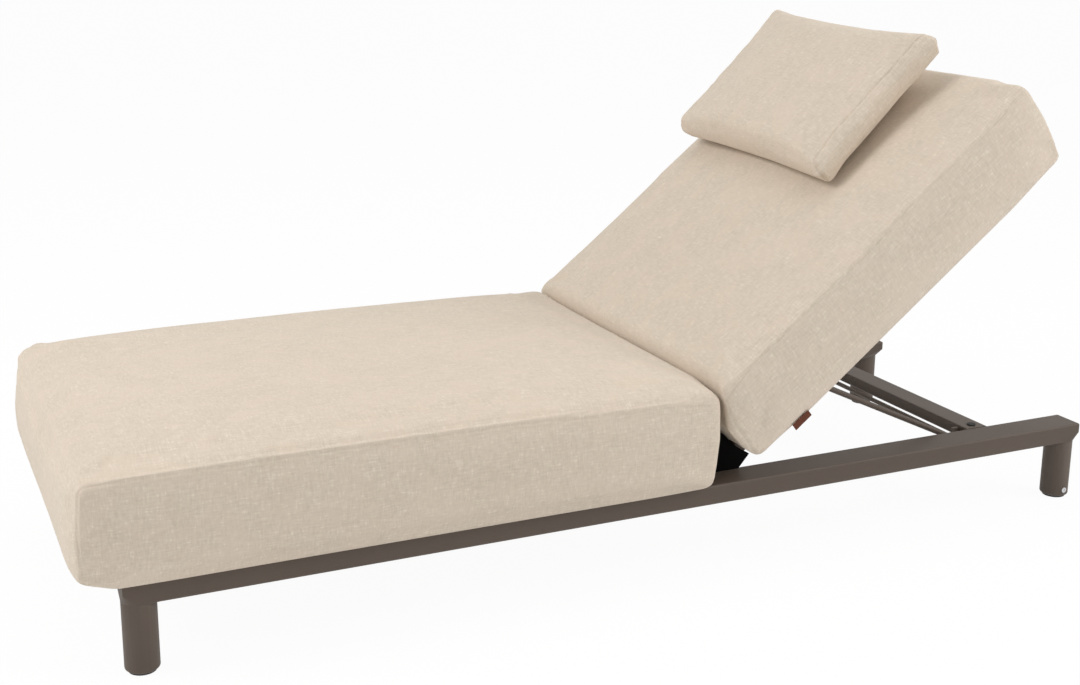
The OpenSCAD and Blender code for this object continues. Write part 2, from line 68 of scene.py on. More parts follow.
JOINTS = {j["name"]: j for j in frame["joints"]}
HINGE = Vector(JOINTS["back_recline"]["pos_m"])
BACK_AXIS = Vector(JOINTS["pillow_slide"]["axis"])
RAISED = math.atan2(BACK_AXIS.z, BACK_AXIS.x)
TO_BACK = Matrix.Translation(HINGE) @ Matrix.Rotation(-RAISED, 4, "Y")
# Height of the pillow's front crown above the plane of its rear edges
PILLOW_FRONT = 0.085
# How much fuller the cloth gets than the pressure alone makes it
SWELL = 2.5
# Smoothing steps after a cover is blown up
EVEN_STEPS = 3

# The camera's place, its turn and tilts in degrees, and the picture's shift
CAMERA_PLACE = (-1.3267, -2.7459, 1.2522)
CAMERA_YAW, CAMERA_PITCH, CAMERA_ROLL = 24.768, 14.102, 0.5146
CAMERA_SHIFT = (-0.002, -0.0489)
SENSOR_WIDTH = 36.0
# Soft lamps: name, place, width and power
LAMPS = [
    ("key", (-3.8, 0.0, 3.4), 2.0, 90.0),
    ("fill", (3.4, -2.4, 3.0), 2.4, 84.0),
    ("overhead", (0.0, 0.3, 4.8), 3.0, 28.0),
]
LAMP_TARGET = Vector((0.0, 0.0, 0.35))
# The floor's grey, how far it lies under the glides, and how white it is where it is seen
FLOOR_GREY, FLOOR_DROP, FLOOR_GLOW = 0.95, 0.0005, 0.955

COATED = [
    "rail_left", "rail_right", "leg_foot_left", "leg_foot_right", "leg_head_left",
    "leg_head_right", "crossbar_foot", "crossbar_mid", "crossbar_head",
    "hinge_bracket_left", "hinge_bracket_right", "prop_lugs", "back_member_left",
    "back_member_right", "back_bar_low", "back_bar_top", "rack_left", "rack_right",
    "prop_arm_left", "prop_arm_right", "prop_rod_low", "prop_rod_top",
] + [n for n in sorted(frame["nodes"]) if "_slat_" in n]
STEEL = ["leg_screws", "bracket_screws", "hinge_pins"]
MOULDED = ["leg_glides", "hinge_bushes", "back_end_caps"]
RUBBER = ["rest_buffers"]


class Wire:
    """A shader socket that adds Math nodes when it is used in an expression."""

    def __init__(self, tree, socket):
        self.tree = tree
        self.socket = socket

    def _math(self, operation, *values):
        return make(self.tree, "ShaderNodeMath", {"operation": operation}, values)

    def __add__(self, other):
        return self._math("ADD", self, other)

    def __sub__(self, other):
        return self._math("SUBTRACT", self, other)

    def __mul__(self, other):
        return self._math("MULTIPLY", self, other)

    def __radd__(self, other):
        return self._math("ADD", other, self)

    def __rsub__(self, other):
        return self._math("SUBTRACT", other, self)

    def __rmul__(self, other):
        return self._math("MULTIPLY", other, self)

    def clamp(self):
        return make(self.tree, "ShaderNodeClamp", {}, [self])

    def above(self, edge, width):
        """0 below edge, 1 above edge + width, and smooth between."""
        settings = {"interpolation_type": "SMOOTHSTEP"}
        return make(self.tree, "ShaderNodeMapRange", settings, [self, edge, edge + width])


def feed(tree, socket, value):
    if isinstance(value, Wire):
        tree.links.new(value.socket, socket)
    else:
        socket.default_value = value


def make(tree, kind, settings, inputs, output=0):
    """A node of a type, with its settings first and then its sockets' values or links."""
    node = tree.nodes.new(kind)
    for name, value in settings.items():
        setattr(node, name, value)
    pairs = inputs.items() if isinstance(inputs, dict) else enumerate(inputs)
    for key, value in pairs:
        feed(tree, node.inputs[key], value)
    return Wire(tree, node.outputs[output])


def mix(tree, factor, first, second):
    node = tree.nodes.new("ShaderNodeMix")
    node.data_type = "RGBA"
    feed(tree, node.inputs["Factor"], factor)
    feed(tree, [s for s in node.inputs if s.name == "A" and s.type == "RGBA"][0], first)
    feed(tree, [s for s in node.inputs if s.name == "B" and s.type == "RGBA"][0], second)
    return Wire(tree, [s for s in node.outputs if s.type == "RGBA"][0])


def grain(tree, cells, detail=2.0, roughness=0.5):
    """Noise from 0 to 1 in the piece's own axes, with its cells per metre along each axis."""
    coord = make(tree, "ShaderNodeTexCoord", {}, {}, "Object")
    inputs = {"Vector": coord, "Scale": cells}
    place = make(tree, "ShaderNodeMapping", {"vector_type": "POINT"}, inputs)
    inputs = {"Vector": place, "Scale": 1.0, "Detail": detail, "Roughness": roughness}
    return make(tree, "ShaderNodeTexNoise", {}, inputs, "Fac")


def even_grain(tree, cells, detail=2.0, roughness=0.5):
    """Noise from 0 to 1 with the same number of cells per metre on every axis."""
    return grain(tree, (cells, cells, cells), detail, roughness)


def new_material(name):
    """A material with an empty Principled shader, its tree and that shader."""
    material = bpy.data.materials.new(name)
    material.use_nodes = True
    tree = material.node_tree
    shader = next(n for n in tree.nodes if n.type == "BSDF_PRINCIPLED")
    return material, tree, shader


def bump(tree, shader, height, distance, strength):
    inputs = {"Strength": strength, "Distance": distance, "Height": height}
    feed(tree, shader.inputs["Normal"], make(tree, "ShaderNodeBump", {}, inputs))


def finish(tree, shader, colour, roughness, shine=0.5, metallic=0.0):
    """Feeds the shader's colour and roughness, and sets its gloss and whether it is metal."""
    feed(tree, shader.inputs["Base Color"], colour)
    feed(tree, shader.inputs["Roughness"], roughness)
    shader.inputs["Specular IOR Level"].default_value = shine
    shader.inputs["Metallic"].default_value = metallic


def woven(name, colours):
    """Plain weave: slubs along both thread directions over a faintly mottled ground."""
    material, tree, shader = new_material(name)
    thread, slub, cross_y, cross_z = 330.0, 52.0, 60.0, 70.0
    facing = make(tree, "ShaderNodeTexCoord", {}, {}, "Normal")
    split = make(tree, "ShaderNodeSeparateXYZ", {}, [facing])
    end = make(tree, "ShaderNodeMath", {"operation": "ABSOLUTE"}, [split]).above(0.6, 0.2)
    long_way = grain(tree, (slub, thread, thread), roughness=0.55)
    end_way = grain(tree, (thread, slub, thread), roughness=0.55)
    across = grain(tree, (thread, cross_y, cross_z), roughness=0.55)
    end_across = grain(tree, (thread, thread, cross_z), roughness=0.55)
    along = long_way + (end_way - long_way) * end
    over = across + (end_across - across) * end
    fleck = even_grain(tree, 420.0)
    cloud = even_grain(tree, 11.0)
    warm = even_grain(tree, 16.0, roughness=0.55)
    fine = even_grain(tree, 900.0, detail=1.0)
    threads = 0.5 + (along - 0.5) * 0.64 + (over - 0.5) * 0.64 + (fleck - 0.5) * 0.36
    tone = (threads + (cloud - 0.5) * 0.16).clamp()
    ground = mix(tree, tone, tuple(colours.dark), tuple(colours.light))
    tinted = mix(tree, warm.above(0.42, 0.2) * 0.3, ground, tuple(colours.warm))
    pale = (along * over).above(0.36, 0.05)
    final = mix(tree, pale * 0.3, tinted, tuple(colours.fleck))
    finish(tree, shader, final, 0.86 + tone * 0.1, shine=0.2)
    shader.inputs["Sheen Weight"].default_value = 0.12
    shader.inputs["Sheen Roughness"].default_value = 0.5
    bump(tree, shader, threads * 0.7 + fine * 0.5, 0.0006, 0.5)
    return material


def coated(name, colours):
    """Satin powder coat: fine orange peel, faint cloudiness and paler rubbed edges."""
    material, tree, shader = new_material(name)
    cloud = even_grain(tree, 9.0, detail=3.0, roughness=0.55)
    speck = even_grain(tree, 600.0)
    worn = make(tree, "ShaderNodeNewGeometry", {}, {}, "Pointiness").above(0.53, 0.08)
    tone = (cloud * 0.7 + speck * 0.3).clamp()
    base = mix(tree, tone, tuple(colours.dark), tuple(colours.light))
    final = mix(tree, worn * 0.25, base, tuple(colours.edge))
    finish(tree, shader, final, 0.48 + cloud * 0.14, shine=0.3)
    bump(tree, shader, speck, 0.0003, 0.3)
    return material


def brushed(name, colours):
    """Zinc-plated steel with fine turning marks."""
    material, tree, shader = new_material(name)
    marks = grain(tree, (300.0, 2400.0, 300.0), roughness=0.6)
    final = mix(tree, marks, tuple(colours.dark), tuple(colours.light))
    finish(tree, shader, final, 0.24 + marks * 0.18, metallic=1.0)
    bump(tree, shader, marks, 0.0002, 0.3)
    return material


def moulded(name, colours, rough, shine=0.5):
    """Moulded plastic or rubber with a fine spark-eroded texture."""
    material, tree, shader = new_material(name)
    pit = even_grain(tree, 1400.0)
    cloud = even_grain(tree, 40.0)
    tone = (cloud * 0.7 + pit * 0.3).clamp()
    final = mix(tree, tone, tuple(colours.dark), tuple(colours.light))
    finish(tree, shader, final, rough + pit * 0.15, shine=shine)
    bump(tree, shader, pit, 0.0003, 0.4)
    return material


def paint_nodes(names, material):
    for name in names:
        slots = frame["nodes"][name].data.materials
        slots.clear()
        slots.append(material)


def link(name, mesh):
    piece = bpy.data.objects.new(name, mesh)
    bpy.context.scene.collection.objects.link(piece)
    return piece


def vertex_array(mesh, attribute="co"):
    """The vertices' places, or their normals, one row each."""
    flat = np.empty(len(mesh.vertices) * 3)
    mesh.vertices.foreach_get(attribute, flat)
    return flat.reshape(-1, 3)


def set_vertices(mesh, points):
    mesh.vertices.foreach_set("co", np.asarray(points, float).ravel())
    mesh.update()


def baked(piece):
    """The piece's mesh with its modifiers applied, as a new mesh."""
    graph = bpy.context.evaluated_depsgraph_get()
    return bpy.data.meshes.new_from_object(piece.evaluated_get(graph))


def use_mesh(piece, mesh):
    """Gives the piece a finished mesh and drops its modifiers."""
    old = piece.data
    piece.modifiers.clear()
    piece.data = mesh
    bpy.data.meshes.remove(old)


def smoothed(piece, steps, voxel=None):
    """Evens the piece's mesh, after a remesh where a voxel size is given."""
    if voxel:
        cut = piece.modifiers.new("voxels", "REMESH")
        cut.mode = "VOXEL"
        cut.voxel_size = voxel
        cut.adaptivity = 0.0
    soften = piece.modifiers.new("soften", "SMOOTH")
    soften.factor = 0.5
    soften.iterations = steps
    use_mesh(piece, baked(piece))


def distance_to_paths(points, paths):
    """Each point's distance to the nearest of some polylines."""
    gap = np.full(len(points), 1e9)
    for path in paths:
        gap = np.minimum(gap, distance_to_path(points, path)[0])
    return gap


def distance_to_path(points, path):
    """Each point's distance to a polyline, how far along that is, and the nearest place."""
    best = np.full(len(points), 1e9)
    along = np.zeros(len(points))
    place = np.zeros_like(points)
    run = 0.0
    for a, b in zip(path[:-1], path[1:]):
        d = b - a
        length = float(np.linalg.norm(d))
        if length < 1e-9:
            continue
        t = np.clip(((points - a) @ d) / (length * length), 0.0, 1.0)
        spot = a + t[:, None] * d
        gap = np.linalg.norm(points - spot, axis=1)
        near = gap < best
        best[near] = gap[near]
        along[near] = run + t[near] * length
        place[near] = spot[near]
        run += length
    return best, along, place


def panel_seam(half_x, half_y, side, spec):
    """Seam round a side panel: up one corner, along under the upper edge, down the other.

    Its levels give the height at shares of the length, from the foot end to the head end.
    """
    low, levels, corner = spec["seam_low"], spec["seam_levels"], spec["seam_corner"]
    inset, shoulder = spec["seam_inset"], spec["seam_shoulder"]
    shares, heights = zip(*levels)
    rise_steps, turn_steps, run_steps = 9, 7, 32

    def height(x):
        return float(np.interp((x + half_x) / (2 * half_x), shares, heights))

    path = []
    for end in (-1, 1):
        top = height(end * (half_x - inset))
        rise = []
        for i in range(rise_steps + 1):
            z = low + (top - corner - low) * i / rise_steps
            rise.append((end * (half_x - inset), side * (half_y - inset), z))
        for i in range(1, turn_steps + 1):
            t = math.pi / 2 * i / turn_steps
            x = half_x - inset - corner * (1 - math.cos(t))
            y = half_y - inset * (1 - i / turn_steps) - shoulder * i / turn_steps
            rise.append((end * x, side * y, top - corner + corner * math.sin(t)))
        path.append(rise)
    reach = half_x - inset - corner
    middle = []
    for i in range(1, run_steps):
        x = -reach + 2 * reach * i / run_steps
        middle.append((x, side * (half_y - shoulder), height(x)))
    return np.array(path[0] + middle + path[1][::-1])


def snapped(path, points):
    """The path's points moved to the nearest of the given surface points."""
    out = path.copy()
    for i, p in enumerate(path):
        out[i] = points[np.argmin(((points - p) ** 2).sum(1))]
    for _ in range(3):
        out[1:-1] = (out[:-2] + 2 * out[1:-1] + out[2:]) / 4
    return out


def blow_up(piece, pinned, pressure, cap, frames):
    """Cloth with pressure between the pinned points, each moved at most by its cap.

    The frames are few, so the cloth moves little, and SWELL makes it fuller up to the cap.
    """
    start = vertex_array(piece.data)
    group = piece.vertex_groups.new(name="pinned")
    group.add(np.nonzero(pinned)[0].tolist(), 1.0, "REPLACE")
    cloth = piece.modifiers.new("cloth", "CLOTH")
    rules = cloth.settings
    rules.quality = 5
    rules.mass = 0.3
    rules.tension_stiffness = 18
    rules.compression_stiffness = 12
    rules.shear_stiffness = 8
    rules.bending_stiffness = 1.2
    rules.use_pressure = True
    rules.uniform_pressure_force = pressure
    rules.vertex_group_mass = "pinned"
    rules.effector_weights.gravity = 0.0
    cloth.point_cache.frame_start = 1
    cloth.point_cache.frame_end = frames
    scene = bpy.context.scene
    for step in range(1, frames + 1):
        scene.frame_set(step)
    moved = vertex_array(baked(piece))
    scene.frame_set(1)
    piece.modifiers.clear()
    piece.vertex_groups.clear()
    shift = moved - start
    size = np.linalg.norm(shift, axis=1)
    top = np.maximum(cap, 1e-6)
    share = top * np.tanh(SWELL * size / top) / np.maximum(size, 1e-9)
    set_vertices(piece.data, start + shift * share[:, None])


def refine_near(piece, paths, reach, cuts):
    """Splits the faces within reach of the seams, so that a stitch line has faces to sit in."""
    for step in range(cuts):
        mesh = piece.data
        near = distance_to_paths(vertex_array(mesh), paths) < reach / (step + 1)
        work = bmesh.new()
        work.from_mesh(mesh)
        work.verts.ensure_lookup_table()
        chosen = [e for e in work.edges if near[e.verts[0].index] and near[e.verts[1].index]]
        bmesh.ops.subdivide_edges(work, edges=chosen, cuts=1, use_grid_fill=True)
        bmesh.ops.triangulate(work, faces=[f for f in work.faces if len(f.verts) > 4])
        work.to_mesh(mesh)
        work.free()
        mesh.update()


def sew(piece, paths, depth, width, pucker):
    """Draws the surface in along the seams, with small puckers beside the stitches."""
    mesh = piece.data
    points = vertex_array(mesh)
    normals = vertex_array(mesh, "normal")
    drop = np.zeros(len(points))
    for number, path in enumerate(paths):
        gap, along, place = distance_to_path(points, path)
        away = points - place
        away -= (away * normals).sum(1)[:, None] * normals
        flat = np.linalg.norm(away, axis=1)
        # Waves of the stitches and of the longer pulls, in cells per metre along the seam
        for i in np.nonzero(gap < width * 9)[0]:
            stitch = noise.noise(Vector((along[i] * 55.0, flat[i] * 30.0, number * 7.3)))
            pull = noise.noise(Vector((along[i] * 17.0, number * 3.1, 4.2)))
            groove = depth * math.exp(-((flat[i] / width) ** 2))
            ridge = -0.3 * depth * math.exp(-(((flat[i] - width * 2.6) / (width * 1.5)) ** 2))
            fold = pucker * (stitch + 0.6 * pull) * math.exp(-((flat[i] / (width * 4)) ** 2))
            drop[i] += groove * (1 + 0.25 * stitch) + ridge + fold
    set_vertices(mesh, points - normals * drop[:, None])


def lumps(piece, size, depth, down, fixed_below):
    """Soft unevenness of the filling, fading out towards the face that rests."""
    mesh = piece.data
    points = vertex_array(mesh)
    normals = vertex_array(mesh, "normal")
    amount = np.zeros(len(points))
    for i, p in enumerate(points):
        broad = noise.noise(Vector(p / size))
        small = noise.noise(Vector(p / size * 2.7) + Vector((9.1, 2.2, 5.7)))
        amount[i] = broad + 0.4 * small
    fade = np.clip((points @ down - fixed_below) / 0.03, 0, 1)
    set_vertices(mesh, points + normals * (amount * depth * fade)[:, None])


def shade_smooth(piece):
    piece.data.polygons.foreach_set("use_smooth", [True] * len(piece.data.polygons))
    piece.data.update()


def node_mesh(node, to_local):
    """A copy of a frame node's surface in a piece's own axes, with its seams welded."""
    source = frame["nodes"][node].data.copy()
    source.materials.clear()
    source.transform(to_local)
    work = bmesh.new()
    work.from_mesh(source)
    bmesh.ops.remove_doubles(work, verts=work.verts[:], dist=1e-5)
    work.to_mesh(source)
    work.free()
    return source


def stuff(name, node, body, place, settings, material, spec):
    """One stuffed piece: blown up from its solid, evened, sewn and set in its place.

    Its spec gives the seams, how far the cover swells and from where it is held, the
    filling's unevenness, and the shape that the weight of the piece gives it.
    """
    piece = link(name, node_mesh(node, place.inverted()))
    smoothed(piece, spec["soften"], settings.voxel * spec["voxel_share"])
    solid = vertex_array(piece.data)
    low, high = solid.min(0), solid.max(0)
    half_x, half_y = (high[0] - low[0]) / 2, (high[1] - low[1]) / 2
    centre = np.array([(high[0] + low[0]) / 2, (high[1] + low[1]) / 2, 0.0])
    paths = []
    for side in (-1, 1):
        paths.append(snapped(panel_seam(half_x, half_y, side, spec) + centre, solid))
    normals = vertex_array(piece.data, "normal")
    free = spec["free"](solid)
    shrink = spec["shrink"] * free
    inner = solid - normals * shrink[:, None]
    down = np.array(spec["down"])
    rest = solid @ down < spec["rest_at"] + 0.003
    inner[rest] = solid[rest]
    set_vertices(piece.data, inner)
    held, refined = settings.voxel * 1.2, settings.voxel * 3.2
    pinned = np.where(distance_to_paths(solid, paths) < held, 1.0, 0.0)
    pinned[rest] = 1.0
    blow_up(piece, pinned, settings.pressure, spec["swell"] * free, settings.frames)
    smoothed(piece, EVEN_STEPS)
    lumps(piece, spec["lump_size"], spec["lump_depth"], down, spec["rest_at"] + 0.004)
    set_vertices(piece.data, spec["shape"](vertex_array(piece.data)))
    skin = vertex_array(piece.data)
    paths = [snapped(path, skin) for path in paths]
    refine_near(piece, paths, refined, 2)
    sew(piece, paths, settings.seam_depth * spec["seam_share"], settings.seam_width,
        settings.pucker * spec["seam_share"])
    shade_smooth(piece)
    piece.data.materials.append(material)
    piece.matrix_world = place
    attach(piece, body)
    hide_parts(node)


def ramp(value, start, width):
    """0 up to start, 1 from width beyond it, and smooth between."""
    t = np.clip((value - start) / width, 0.0, 1.0)
    return t * t * (3 - 2 * t)


def colour_setting(name, description, default):
    return bpy.props.FloatVectorProperty(
        name=name, description=description, subtype="COLOR", size=4, min=0, max=1,
        default=(*default, 1))


def length_setting(name, description, default, low, high):
    return bpy.props.FloatProperty(
        name=name, description=description, unit="LENGTH", min=low, max=high, default=default)


def number_setting(name, description, default, low, high):
    return bpy.props.FloatProperty(
        name=name, description=description, min=low, max=high, default=default)


class FabricColours(bpy.types.PropertyGroup):
    """Colours of the woven cover."""

    dark: colour_setting("Dark threads", "Darker thread colour", (0.53, 0.44, 0.345))
    light: colour_setting("Light threads", "Lighter thread colour", (0.79, 0.70, 0.585))
    warm: colour_setting("Warm patches", "Warmer ground colour", (0.73, 0.60, 0.49))
    fleck: colour_setting("Flecks", "Colour of the pale slubs", (0.86, 0.78, 0.67))


class TabColours(bpy.types.PropertyGroup):
    """Colours of the sewn tab."""

    dark: colour_setting("Dark threads", "Darker thread colour", (0.075, 0.028, 0.016))
    light: colour_setting("Light threads", "Lighter thread colour", (0.17, 0.052, 0.027))
    warm: colour_setting("Warm patches", "Warmer ground colour", (0.15, 0.045, 0.022))
    fleck: colour_setting("Flecks", "Colour of the pale slubs", (0.2, 0.075, 0.04))


class CoatColours(bpy.types.PropertyGroup):
    """Colours of the powder coat."""

    dark: colour_setting("Dark", "Darker coat colour", (0.092, 0.070, 0.055))
    light: colour_setting("Light", "Lighter coat colour", (0.120, 0.092, 0.073))
    edge: colour_setting("Edges", "Colour where edges are rubbed", (0.19, 0.155, 0.128))


class SteelColours(bpy.types.PropertyGroup):
    """Colours of the plated steel."""

    dark: colour_setting("Dark", "Colour in the turning marks", (0.5, 0.5, 0.51))
    light: colour_setting("Light", "Colour between the marks", (0.74, 0.74, 0.75))


class NylonColours(bpy.types.PropertyGroup):
    """Colours of the glides, bushes and end caps."""

    dark: colour_setting("Dark", "Darker plastic colour", (0.02, 0.019, 0.018))
    light: colour_setting("Light", "Lighter plastic colour", (0.04, 0.038, 0.035))


class ShadeCoverColours(bpy.types.PropertyGroup):
    """Colours of the hinge covers, near black: painted shade for the dark gap at the hinge."""

    dark: colour_setting("Dark", "Darker plastic colour", (0.002, 0.0018, 0.0018))
    light: colour_setting("Light", "Lighter plastic colour", (0.004, 0.0035, 0.0035))


class RubberColours(bpy.types.PropertyGroup):
    """Colours of the rubber buffers."""

    dark: colour_setting("Dark", "Darker rubber colour", (0.012, 0.012, 0.012))
    light: colour_setting("Light", "Lighter rubber colour", (0.03, 0.03, 0.03))


class CushionSizes(bpy.types.PropertyGroup):
    """How the stuffed pieces are blown up and sewn."""

    voxel: length_setting("Mesh size", "Edge length of the cloth mesh", 0.0075, 0.004, 0.02)
    pressure: number_setting("Pressure", "Filling's pressure on the cover", 3.0, 0, 10)
    frames: bpy.props.IntProperty(
        name="Frames", description="Length of the cloth simulation", min=2, max=60, default=16)
    seam_depth: length_setting("Seam depth", "Depth of a sewn seam", 0.0013, 0, 0.01)
    seam_width: length_setting("Seam width", "Half width of a seam's groove", 0.0022, 0.001, 0.02)
    pucker: length_setting("Puckers", "Depth of the folds beside a seam", 0.0009, 0, 0.01)


class StageSizes(bpy.types.PropertyGroup):
    """Camera, floor and light."""

    lens: number_setting("Lens", "Focal length in millimetres on a 36 mm sensor", 50.3, 10, 300)
    floor_size: length_setting("Floor", "Width of the floor", 60, 4, 200)
    daylight: number_setting("Surroundings", "Brightness of the surroundings", 0.52, 0, 2)


class LOUNGER_OT_stage(bpy.types.Operator):
    """Sets the camera, the pale floor and the soft light."""

    bl_idname = "lounger.stage"
    bl_label = "Stage"

    def execute(self, context):
        sizes = context.scene.lounger_stage
        add_camera(context.scene, sizes.lens)
        add_world(context.scene, sizes.daylight)
        add_floor(sizes.floor_size)
        for lamp in LAMPS:
            add_lamp(*lamp)
        context.scene.view_settings.view_transform = "Standard"
        return {"FINISHED"}


def add_camera(scene, lens):
    yaw, pitch = math.radians(CAMERA_YAW), math.radians(CAMERA_PITCH)
    roll = math.radians(CAMERA_ROLL)
    level = math.cos(pitch)
    ahead = Vector((level * math.sin(yaw), level * math.cos(yaw), -math.sin(pitch)))
    right = Vector((math.cos(yaw), -math.sin(yaw), 0.0))
    up = right.cross(ahead)
    turned_right = math.cos(roll) * right + math.sin(roll) * up
    turned_up = -math.sin(roll) * right + math.cos(roll) * up
    data = bpy.data.cameras.new("camera")
    data.lens = lens
    data.sensor_width = SENSOR_WIDTH
    data.sensor_fit = "HORIZONTAL"
    data.shift_x, data.shift_y = CAMERA_SHIFT
    data.clip_end = 200.0
    camera = bpy.data.objects.new("camera", data)
    scene.collection.objects.link(camera)
    rotation = Matrix((turned_right, turned_up, -ahead)).transposed().to_4x4()
    camera.matrix_world = Matrix.Translation(CAMERA_PLACE) @ rotation
    scene.camera = camera


def seen_directly(tree):
    """1 for what the camera, a reflection or a pane shows, and 0 for light on the object."""
    path = tree.nodes.new("ShaderNodeLightPath")
    camera = Wire(tree, path.outputs["Is Camera Ray"])
    glossy = Wire(tree, path.outputs["Is Glossy Ray"])
    through = Wire(tree, path.outputs["Is Transmission Ray"])
    return (camera + glossy + through).clamp()


def add_world(scene, strength):
    world = bpy.data.worlds.new("surroundings")
    world.use_nodes = True
    tree = world.node_tree
    background = next(n for n in tree.nodes if n.type == "BACKGROUND")
    background.inputs["Color"].default_value = (1.0, 1.0, 1.0, 1.0)
    direct = seen_directly(tree)
    feed(tree, background.inputs["Strength"], direct + (1.0 - direct) * strength)
    scene.world = world


def add_floor(size):
    mesh = bpy.data.meshes.new("floor")
    work = bmesh.new()
    bmesh.ops.create_grid(work, x_segments=8, y_segments=8, size=size / 2)
    work.to_mesh(mesh)
    work.free()
    floor = link("floor", mesh)
    floor.location.z = -FLOOR_DROP
    material, tree, shader = new_material("floor_white")
    output = next(n for n in tree.nodes if n.type == "OUTPUT_MATERIAL")
    shader.inputs["Base Color"].default_value = (FLOOR_GREY, FLOOR_GREY, FLOOR_GREY, 1.0)
    shader.inputs["Roughness"].default_value = 0.9
    shader.inputs["Specular IOR Level"].default_value = 0.0
    glow = tree.nodes.new("ShaderNodeEmission")
    glow.inputs["Strength"].default_value = 1.0
    blend = tree.nodes.new("ShaderNodeMixShader")
    feed(tree, blend.inputs[0], seen_directly(tree) * FLOOR_GLOW)
    tree.links.new(shader.outputs[0], blend.inputs[1])
    tree.links.new(glow.outputs[0], blend.inputs[2])
    tree.links.new(blend.outputs[0], output.inputs["Surface"])
    floor.data.materials.append(material)


def add_lamp(name, place, size, power):
    data = bpy.data.lights.new(name, "AREA")
    data.shape = "DISK"
    data.size = size
    data.energy = power
    lamp = bpy.data.objects.new(name, data)
    bpy.context.scene.collection.objects.link(lamp)
    lamp.location = place
    lamp.rotation_euler = (LAMP_TARGET - Vector(place)).to_track_quat("-Z", "Y").to_euler()


class LOUNGER_OT_finishes(bpy.types.Operator):
    """Gives the frame's own parts their coat, steel, plastic and rubber."""

    bl_idname = "lounger.finishes"
    bl_label = "Frame finishes"

    def execute(self, context):
        scene = context.scene
        paint_nodes(COATED, coated("taupe_coat", scene.lounger_coat))
        paint_nodes(STEEL, brushed("plated_steel", scene.lounger_steel))
        paint_nodes(MOULDED, moulded("dark_nylon", scene.lounger_nylon, 0.5))
        paint_nodes(RUBBER, moulded("black_rubber", scene.lounger_rubber, 0.7))
        return {"FINISHED"}


def fabric():
    found = bpy.data.materials.get("heathered_weave")
    return found or woven("heathered_weave", bpy.context.scene.lounger_fabric)


# What the two box cushions' covers have in common
BOX_CUSHION = {
    "voxel_share": 1.0, "soften": 4, "shrink": 0.0, "swell": 0.007,
    "lump_size": 0.2, "lump_depth": 0.0012, "down": (0.0, 0.0, 1.0), "rest_at": 0.0,
    "seam_low": 0.02, "seam_inset": 0.0076, "seam_shoulder": 0.0, "fill": 0.9,
}


def hanging_edge(points, half, wide, carrier, clear):
    """1 at the lower side edges, clear of what carries the cushion, and the ends' fading."""
    lower = 1.0 - ramp(points[:, 2], 0.0, 0.09)
    beside = ramp(np.abs(points[:, 1]), carrier + clear, wide - carrier)
    return lower * beside, 1.0 - ramp(np.abs(points[:, 0]), half - 0.18, 0.16)


def full_edge(points, half, out_from, out_over, up_from, near_share):
    """1 along the upper side edges, less at the ends and on the side near the camera."""
    full = ramp(np.abs(points[:, 1]), out_from, out_over) * ramp(points[:, 2], up_from, 0.05)
    full *= np.where(points[:, 1] > 0, 1.0, near_share)
    return full * (1.0 - 0.65 * ramp(np.abs(points[:, 0]), half - 0.11, 0.11))


class LOUNGER_OT_seat_cushion(bpy.types.Operator):
    """Builds the seat cushion."""

    bl_idname = "lounger.seat_cushion"
    bl_label = "Seat cushion"

    def execute(self, context):
        low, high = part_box("seat_cushion")
        half, wide = (high.x - low.x) / 2, high.y
        place = Matrix.Translation(((low.x + high.x) / 2, 0.0, low.z))
        rail_low, rail_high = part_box("rail_left")
        rail_side = max(abs(rail_low.y), abs(rail_high.y))
        rail_end = rail_low.x - place.translation.x
        # How far the cover goes past its solid at each form
        hang, foot_lift, belly, edge_up, edge_out = 0.006, 0.013, 0.007, 0.009, 0.004
        brow_out, brow_drop, corner_drop = 0.003, 0.010, 0.008

        def free(points):
            """The head end lies against the back cushion, and isn't blown up."""
            return 1.0 - ramp(points[:, 0], half - 0.09, 0.06)

        def shape(points):
            """Lower edges hang over the rails, and the foot end lifts and bulges a little."""
            out = points.copy()
            x, y, z = points.T
            side = np.abs(y)
            edge, ends = hanging_edge(points, half, wide, rail_side, 0.003)
            out[:, 2] -= hang * edge * (ends - ramp(x, half - 0.10, 0.10))
            beyond = 1.0 - ramp(x, rail_end - 0.062, 0.06)
            out[:, 2] += foot_lift * (1.0 - ramp(z, 0.0, 0.05)) * beyond
            bulge = ramp(z, 0.0, 0.012) * (1.0 - ramp(z, 0.03, 0.14))
            out[:, 0] -= belly * bulge * ramp(-x, half - 0.05, 0.05)
            full = full_edge(points, half, wide - 0.13, 0.09, 0.16, 0.4)
            out[:, 2] += edge_up * full
            out[:, 1] += edge_out * full * np.sign(y)
            brow = ramp(x, half - 0.05, 0.04) * ramp(z, 0.16, 0.05)
            near_side = ramp(-y, wide - 0.12, 0.10)
            out[:, 0] += brow_out * brow * (1.0 - near_side)
            out[:, 2] -= brow_drop * brow * near_side
            corner = ramp(side, wide - 0.07, 0.07) * ramp(-x, half - 0.07, 0.07)
            out[:, 2] -= corner_drop * ramp(z, 0.15, 0.05) * corner
            over_rail = (np.abs(out[:, 1]) < rail_side + 0.002) & (out[:, 0] > rail_end - 0.002)
            out[over_rail, 2] = np.maximum(out[over_rail, 2], 0.0)
            return out

        spec = {
            **BOX_CUSHION, "free": free, "shape": shape, "seam_share": 0.8, "seam_corner": 0.018,
            "seam_levels": [(0.0, 0.196), (0.1, 0.193), (0.6, 0.192), (0.75, 0.188),
                            (0.87, 0.181), (1.0, 0.180)],
        }
        stuff("seat_cushion_cover", "seat_cushion", "frame", place,
              context.scene.lounger_cushion, fabric(), spec)
        return {"FINISHED"}


